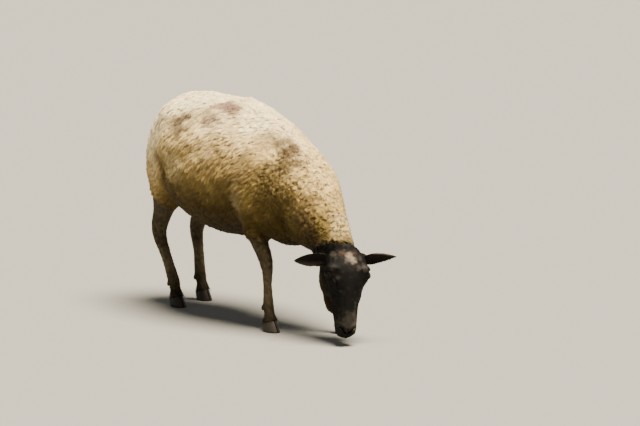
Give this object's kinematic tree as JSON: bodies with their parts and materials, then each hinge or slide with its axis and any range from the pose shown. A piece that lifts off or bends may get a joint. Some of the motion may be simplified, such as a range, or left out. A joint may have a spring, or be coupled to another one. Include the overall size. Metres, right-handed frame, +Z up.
{
  "type": "grazing sheep, black-faced ewe",
  "caption": "Life-size still model of a grazing black-faced ewe in short cream wool, head low and turned to its right.",
  "frame": {"origin": "on the floor at the middle of the standing animal's length and width, under its belly", "axes": "+X towards the head, +Y to the animal's left, +Z up"},
  "size_m": [1.1662, 0.4046, 0.7297],
  "materials": {
    "wool": "matte short curly fleece, cream to ivory with tan and grey-brown patches",
    "hair": "short flat hair over skin, black mottled with grey and brown",
    "horn": "satin dark hoof horn with growth rings",
    "eye": "wet gloss, dark iris with a level slot pupil"
  },
  "bodies": {
    "root": {"trunk": "wool", "neck": "wool", "tail": "wool", "head": "hair", "ear_left": "hair", "ear_right": "hair", "foreleg_left": "hair", "foreleg_right": "hair", "foreshank_left": "hair", "foreshank_right": "hair", "hindleg_left": "hair", "hindleg_right": "hair", "hindshank_left": "hair", "hindshank_right": "hair", "hoof_fore_left_inner": "horn", "hoof_fore_left_outer": "horn", "hoof_fore_right_inner": "horn", "hoof_fore_right_outer": "horn", "hoof_hind_left_inner": "horn", "hoof_hind_left_outer": "horn", "hoof_hind_right_inner": "horn", "hoof_hind_right_outer": "horn", "eye_left": "eye", "eye_right": "eye"}
  },
  "joints": []
}
